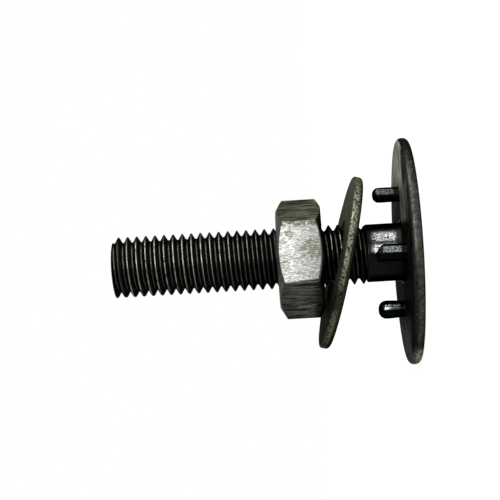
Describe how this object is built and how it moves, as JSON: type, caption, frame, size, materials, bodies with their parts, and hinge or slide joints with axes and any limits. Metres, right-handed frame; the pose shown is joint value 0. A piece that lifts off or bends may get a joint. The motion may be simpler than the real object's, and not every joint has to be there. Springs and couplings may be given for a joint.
{
  "type": "elevator bolt",
  "caption": "Steel elevator bolt with a wide flat head, forged pins under the head, a plain neck and a threaded shank, with a loose flat washer and a hexagon nut.",
  "frame": {"origin": "centre of the outer face of the head, on which the bolt stands", "axes": "+Z along the shank towards its free end; +X towards the side where the tilted washer comes nearest to the head; a pin of the head lies on each of +X, -X, +Y and -Y"},
  "size_m": [0.0368, 0.0368, 0.049],
  "materials": {
    "bolt_steel": "dark oiled mill finish",
    "washer_steel": "dull grey steel with a paler rim",
    "nut_steel": "bright drawn flats with dark streaks"
  },
  "bodies": {
    "bolt": {"bolt": "bolt_steel"},
    "washer": {"flat_washer": "washer_steel"},
    "nut": {"hex_nut": "nut_steel"}
  },
  "joints": [
    {"name": "along_thread", "type": "slide", "parent": "bolt", "child": "washer", "axis": [0, 0, 1], "range_m": [-0.00113, 0.0345]},
    {"name": "nut_turn", "type": "hinge", "parent": "washer", "child": "nut", "pos_m": [-0.00025, 0, 0.0184], "axis": [0, 0, 1], "range_deg": [-270, 8280]}
  ],
  "couplings": [
    {"joint": "along_thread", "follows": "nut_turn", "m_per_rad": 0.00023873}
  ]
}
